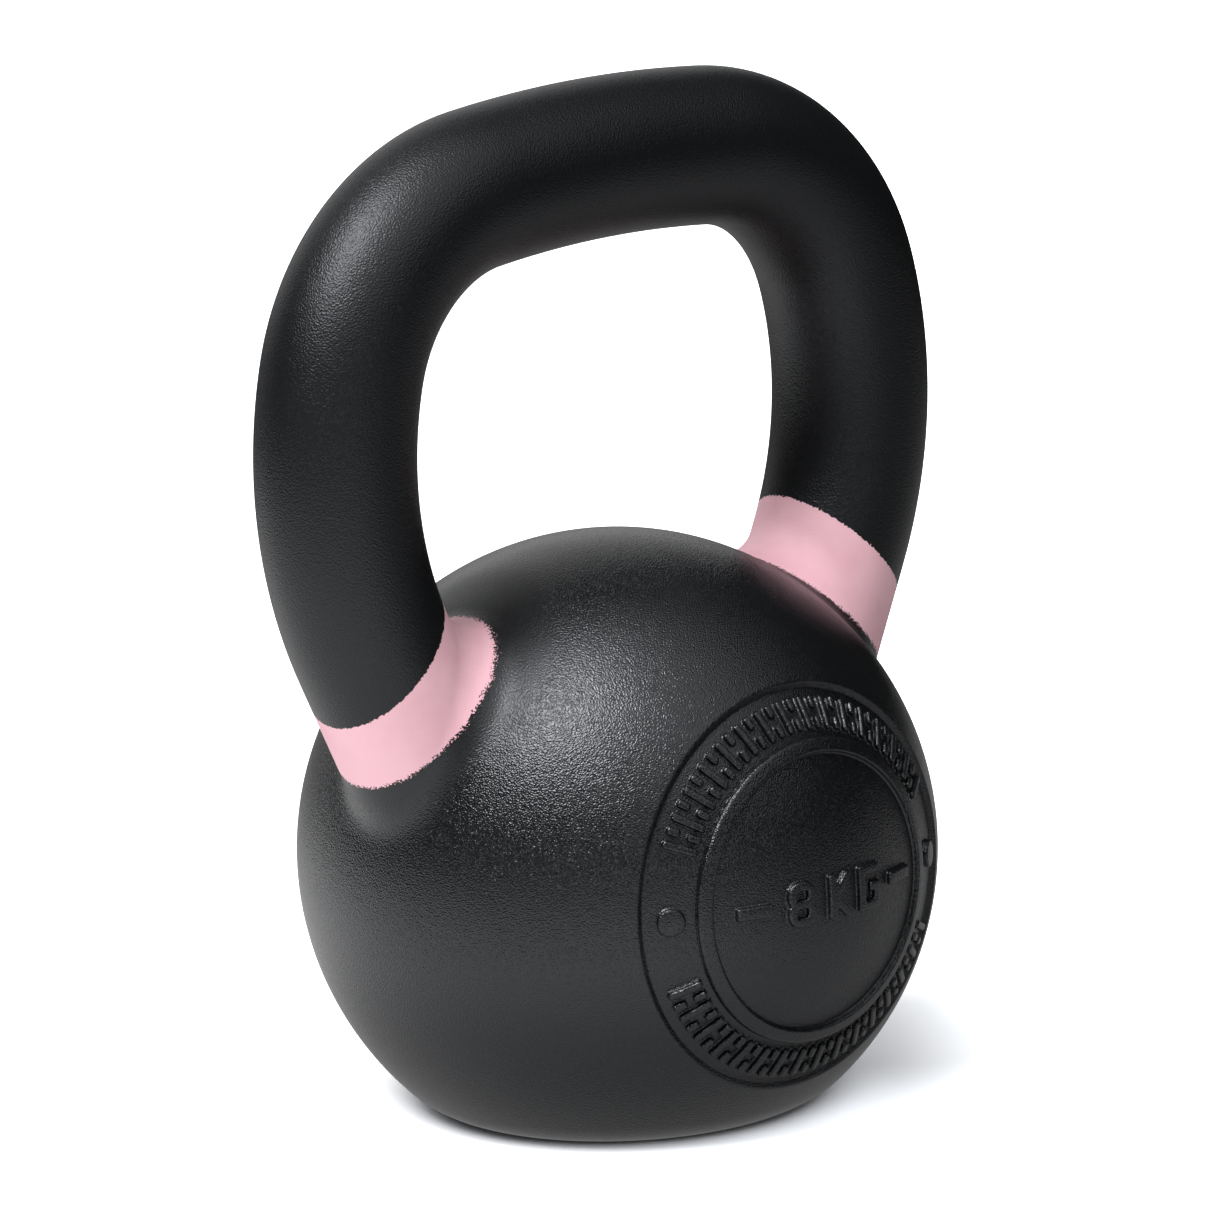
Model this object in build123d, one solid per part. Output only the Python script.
from build123d import *
from math import asin, atan2, cos, degrees, radians, sin, sqrt
import os

# A cast iron kettlebell: a ball with a flat foot and a round emblem on its front, and one
# loop handle. Millimetres, +Z up, X along the grip, the emblem faces -Y. The origin is on
# the floor, in the middle of the foot. All sizes are those of the finished, coated surface.

# Ball and foot
BALL_RADIUS = 61.0
BALL_HEIGHT = 48.2          # of the ball's centre above the floor
EDGE_RADIUS = 18.8          # rounding between the ball and its flat foot
EDGE_HEIGHT = 18.0          # of that rounding's centre: the foot is ground flat below it

# Handle: a round bar whose centreline is a row of tangent arcs in the XZ plane
BAR_RADIUS = 15.1
GRIP_HEIGHT = 180.9         # of the centreline above the floor, in the middle of the grip
CROWN_RADIUS = 274.0        # the grip is very slightly arched
CROWN_ANGLE = 6.0           # from the middle of the grip to either end of that arch
CORNER_RADIUS = 39.8
CORNER_ANGLE = 68.8
HORN_RADIUS = 77.3
HORN_ANGLE = 40.2
ROOT_LENGTH = 45.0          # straight run into the ball
ROOT_FILLET = 9.5           # between each horn and the ball

# Finish: a film lies on the iron, which is smaller than the finished surface by its thickness
FILM = 0.3

# Painted bands, each between two slanting planes that face away from the ball's centre
BAND_TOP_TILT = 46.6        # of the plane's normal away from vertical
BAND_TOP_DISTANCE = 75.2    # of the plane from the ball's centre
BAND_BOTTOM_TILT = 43.2
BAND_BOTTOM_DISTANCE = 60.9

# Emblem: a shallow round recess whose floor follows the ball, with raised shapes on it that
# are flush with the ball. Angles are measured at the ball's centre, from the line through
# the middle of the front
EMBLEM_ANGLE = 39.1
EMBLEM_DEPTH = 1.1
WALL_LEAN = 0.8             # how far the recess's wall leans over its height
DRAFT = 0.5                 # how far each wall of the ring leans over its height
RING_INNER_ANGLE = 25.7
RING_OUTER_ANGLE = 28.5
MARK_ANGLE = 33.2           # middle of the marks in the upper and lower arcs
MARK_LENGTH = 6.6           # along the emblem's radius
MARK_WIDTH = 1.4
MARK_SPLIT = 1.6            # gap in the middle of every other mark
MARK_PITCH = 4.4            # degrees round the emblem between one mark and the next
MARKS_PER_ARC = 31
STUD_RADIUS = 2.6

# Weight mark: block figures in a strip across the middle of the emblem
FIGURE_WIDTH = 6.0
FIGURE_HEIGHT = 8.5
FIGURE_STROKE = 1.7
BOWL_RADIUS = 2.4           # corners of the 8's two bowls
WINDOW_RADIUS = 0.6         # corners of the 8's two windows
FIGURE_PITCH = 7.8          # between the K and the G
DIGIT_OFFSET = 8.6          # of the 8 to the left of the middle
DASH_LENGTH = 7.0
DASH_HEIGHT = 2.4
DASH_OFFSET = 18.4          # of each dash from the middle

REACH = 6.0                 # how far a cutting or forming shape passes the surface it works on
ROOM = 300.0                # a length well past the whole kettlebell

CENTRE = Vector(0, 0, BALL_HEIGHT)
FLOOR_RADIUS = BALL_RADIUS - EMBLEM_DEPTH
DRAFT_ANGLE = degrees(DRAFT / BALL_RADIUS)
EMBLEM_AXIS = Axis(CENTRE, (0, -1, 0))
EMBLEM_SIDE = Plane(CENTRE, x_dir=(0, -1, 0), z_dir=(0, 0, 1))
EMBLEM_FACE = Plane(CENTRE, x_dir=(1, 0, 0), z_dir=(0, -1, 0))


def ball(inset):
    """The ball on its flat foot, turned from one half outline in the YZ plane."""
    radius = BALL_RADIUS - inset
    edge_radius = EDGE_RADIUS - inset
    edge_drop = BALL_HEIGHT - EDGE_HEIGHT
    edge_reach = sqrt((radius - edge_radius) ** 2 - edge_drop ** 2)
    join_angle = degrees(atan2(edge_drop, edge_reach))
    floor_angle = degrees(asin(EDGE_HEIGHT / edge_radius))
    side = CenterArc((0, BALL_HEIGHT), radius, -join_angle, 90 + join_angle)
    edge = CenterArc((edge_reach, EDGE_HEIGHT), edge_radius, -floor_angle, floor_angle - join_angle)
    foot = Line((0, 0), edge @ 0)
    core = Line(side @ 1, (0, 0))
    return revolve(Plane.YZ * make_face(Curve() + [side, edge, foot, core]), Axis.Z)


def travel(heading):
    """Unit vector along the handle: heading 0 is +X, and it grows as the bar turns down."""
    return Vector(cos(radians(heading)), 0, -sin(radians(heading)))


def bar_section(point, heading, radius):
    return Plane(point, x_dir=(0, 1, 0), z_dir=travel(heading)) * Circle(radius)


def handle(inset):
    """The round bar: a crown arc over the grip, and a corner, a horn and a root each side."""
    radius = BAR_RADIUS - inset
    arcs = [
        (CROWN_RADIUS, CROWN_ANGLE),
        (CORNER_RADIUS, CORNER_ANGLE),
        (HORN_RADIUS, HORN_ANGLE),
    ]
    point = Vector(0, 0, GRIP_HEIGHT)
    heading = 0.0
    half = Part()
    for arc_radius, arc_angle in arcs:
        centre = point + travel(heading + 90) * arc_radius
        half += revolve(
            bar_section(point, heading, radius), Axis(centre, (0, 1, 0)), revolution_arc=arc_angle
        )
        heading += arc_angle
        point = centre - travel(heading + 90) * arc_radius
    half += extrude(bar_section(point, heading, radius), ROOT_LENGTH)
    return half + mirror(half, Plane.YZ)


def zone(low_radius, high_radius, low_angles, high_angles):
    """A ring about the emblem's axis, between two spheres round the ball's centre.

    low_angles and high_angles are its inner and outer angles on the smaller and larger sphere.
    """
    low = CenterArc((0, 0), low_radius, low_angles[0], low_angles[1] - low_angles[0])
    high = CenterArc((0, 0), high_radius, high_angles[0], high_angles[1] - high_angles[0])
    walls = [Line(low @ 0, high @ 0), Line(low @ 1, high @ 1)]
    return revolve(EMBLEM_SIDE * make_face(Curve() + [low, high] + walls), EMBLEM_AXIS)


def recess(inset):
    """The cutter for the emblem's recess."""
    slope = degrees(WALL_LEAN / BALL_RADIUS) / EMBLEM_DEPTH
    edge_angle = EMBLEM_ANGLE + degrees(inset / BALL_RADIUS)
    low_angle = edge_angle - slope * EMBLEM_DEPTH
    high_angle = edge_angle + slope * REACH
    return zone(FLOOR_RADIUS - inset, BALL_RADIUS + REACH, (0, low_angle), (0, high_angle))


def is_root_edge(edge):
    """True for the two closed curves where the horns enter the ball."""
    middle = edge @ 0.5
    on_ball = abs((middle - CENTRE).length - BALL_RADIUS) < 1
    return on_ball and abs(middle.X) > BAR_RADIUS and middle.Z > BALL_HEIGHT


def finished_shape(inset):
    """The whole kettlebell, with every surface but the ground foot moved in by inset."""
    shape = ball(inset) + handle(inset)
    roots = shape.edges().filter_by(is_root_edge)
    return fillet(roots, ROOT_FILLET + inset) - recess(inset)


def slanting_plane(tilt, distance):
    normal = Vector(sin(radians(tilt)), 0, cos(radians(tilt)))
    return Plane(CENTRE + normal * distance, z_dir=normal)


def band_zone():
    """The space that holds the band on the +X side."""
    below_top = slanting_plane(BAND_TOP_TILT, BAND_TOP_DISTANCE) * Box(
        ROOM, ROOM, ROOM, align=(Align.CENTER, Align.CENTER, Align.MAX)
    )
    above_bottom = slanting_plane(BAND_BOTTOM_TILT, BAND_BOTTOM_DISTANCE) * Box(
        ROOM, ROOM, ROOM, align=(Align.CENTER, Align.CENTER, Align.MIN)
    )
    right_side = Box(ROOM, ROOM, ROOM, align=(Align.MIN, Align.CENTER, Align.MIN))
    return below_top & above_bottom & right_side


def relief_shell():
    """The layer above the recess floor that everything raised fills."""
    return Pos(CENTRE) * (Sphere(BALL_RADIUS) - Sphere(FLOOR_RADIUS))


def place_on_emblem(angle, clock):
    """A plane on the recess floor, angle from its axis and clock degrees round from the top.

    Its X runs round the emblem and its Y away from the middle.
    """
    out = Vector(
        sin(radians(angle)) * sin(radians(clock)),
        -cos(radians(angle)),
        sin(radians(angle)) * cos(radians(clock)),
    )
    round_emblem = Vector(cos(radians(clock)), 0, -sin(radians(clock)))
    return Plane(CENTRE + out * FLOOR_RADIUS, x_dir=round_emblem, z_dir=out)


def mark(clock, is_split):
    """One radial bar, whole or with a gap in its middle."""
    bar = Rectangle(MARK_WIDTH, MARK_LENGTH)
    if is_split:
        bar -= Rectangle(MARK_WIDTH, MARK_SPLIT)
    return extrude(place_on_emblem(MARK_ANGLE, clock) * bar, REACH / 2, both=True)


def mark_arc(middle_clock):
    """A row of marks either side of middle_clock, whole and split by turns."""
    bars = []
    for number in range(MARKS_PER_ARC):
        clock = middle_clock + (number - (MARKS_PER_ARC - 1) / 2) * MARK_PITCH
        bars += (mark(clock, number % 2 == 1) & relief_shell()).solids()
    return Compound(bars)


def studs():
    """The round studs at the two sides of the emblem, between its arcs."""
    pair = []
    for clock in (-90, 90):
        post = extrude(place_on_emblem(MARK_ANGLE, clock) * Circle(STUD_RADIUS), REACH / 2, both=True)
        pair += (post & relief_shell()).solids()
    return Compound(pair)


def ring():
    low = (RING_INNER_ANGLE - DRAFT_ANGLE / 2, RING_OUTER_ANGLE + DRAFT_ANGLE / 2)
    high = (RING_INNER_ANGLE + DRAFT_ANGLE / 2, RING_OUTER_ANGLE - DRAFT_ANGLE / 2)
    return zone(FLOOR_RADIUS, BALL_RADIUS, low, high)


def figure_8():
    """Two rounded bowls, one on the other, with a stroke in common."""
    bowl_height = (FIGURE_HEIGHT + FIGURE_STROKE) / 2
    window_width = FIGURE_WIDTH - 2 * FIGURE_STROKE
    window_height = bowl_height - 2 * FIGURE_STROKE
    rise = (bowl_height - FIGURE_STROKE) / 2
    bowl = RectangleRounded(FIGURE_WIDTH, bowl_height, BOWL_RADIUS)
    window = RectangleRounded(window_width, window_height, WINDOW_RADIUS)
    bowls = Pos(0, rise) * bowl + Pos(0, -rise) * bowl
    return bowls - Pos(0, rise) * window - Pos(0, -rise) * window


def figure_k():
    half_width = FIGURE_WIDTH / 2
    half_height = FIGURE_HEIGHT / 2
    stem = Pos(FIGURE_STROKE / 2 - half_width, 0) * Rectangle(FIGURE_STROKE, FIGURE_HEIGHT)
    joint = FIGURE_STROKE - half_width
    arms = Polygon(
        (joint, -FIGURE_STROKE),
        (half_width - FIGURE_STROKE, -half_height),
        (half_width, -half_height),
        (joint + FIGURE_STROKE / 2, 0),
        (half_width, half_height),
        (half_width - FIGURE_STROKE, half_height),
        (joint, FIGURE_STROKE),
        align=None,
    )
    return stem + arms


def figure_g():
    outline = Rectangle(FIGURE_WIDTH, FIGURE_HEIGHT)
    window = Rectangle(FIGURE_WIDTH - 2 * FIGURE_STROKE, FIGURE_HEIGHT - 2 * FIGURE_STROKE)
    mouth_height = (FIGURE_HEIGHT - 3 * FIGURE_STROKE) / 2
    mouth_rise = (mouth_height + FIGURE_STROKE) / 2
    mouth = Pos(FIGURE_WIDTH / 2, mouth_rise) * Rectangle(2 * FIGURE_STROKE, mouth_height)
    tongue = Pos(FIGURE_WIDTH / 4, 0) * Rectangle(FIGURE_WIDTH / 2, FIGURE_STROKE)
    return outline - window - mouth + tongue


def weight_mark():
    """8 KG in block figures, with a dash either side."""
    dash = Rectangle(DASH_LENGTH, DASH_HEIGHT)
    strip = [
        Pos(-DASH_OFFSET, 0) * dash,
        Pos(-DIGIT_OFFSET, 0) * figure_8(),
        Pos(DIGIT_OFFSET - FIGURE_PITCH, 0) * figure_k(),
        Pos(DIGIT_OFFSET, 0) * figure_g(),
        Pos(DASH_OFFSET, 0) * dash,
    ]
    figures = []
    for sketch in strip:
        block = extrude(EMBLEM_FACE * sketch, BALL_RADIUS + REACH)
        figures += (block & relief_shell()).solids()
    return Compound(figures)


iron_casting = finished_shape(FILM)
film = finished_shape(0) - iron_casting
right_zone = band_zone()
left_zone = mirror(right_zone, Plane.YZ)
coats = (film - right_zone - left_zone).solids().sort_by(Axis.Z)

parts = {
    "iron_casting": iron_casting,
    "ball_coat": coats[0],
    "handle_coat": coats[-1],
    "right_colour_band": film & right_zone,
    "left_colour_band": film & left_zone,
    "emblem_ring": ring(),
    "emblem_upper_marks": mark_arc(0),
    "emblem_lower_marks": mark_arc(180),
    "emblem_studs": studs(),
    "weight_mark": weight_mark(),
}

os.makedirs("parts", exist_ok=True)
for name, shape in parts.items():
    export_step(shape, f"parts/{name}.step")
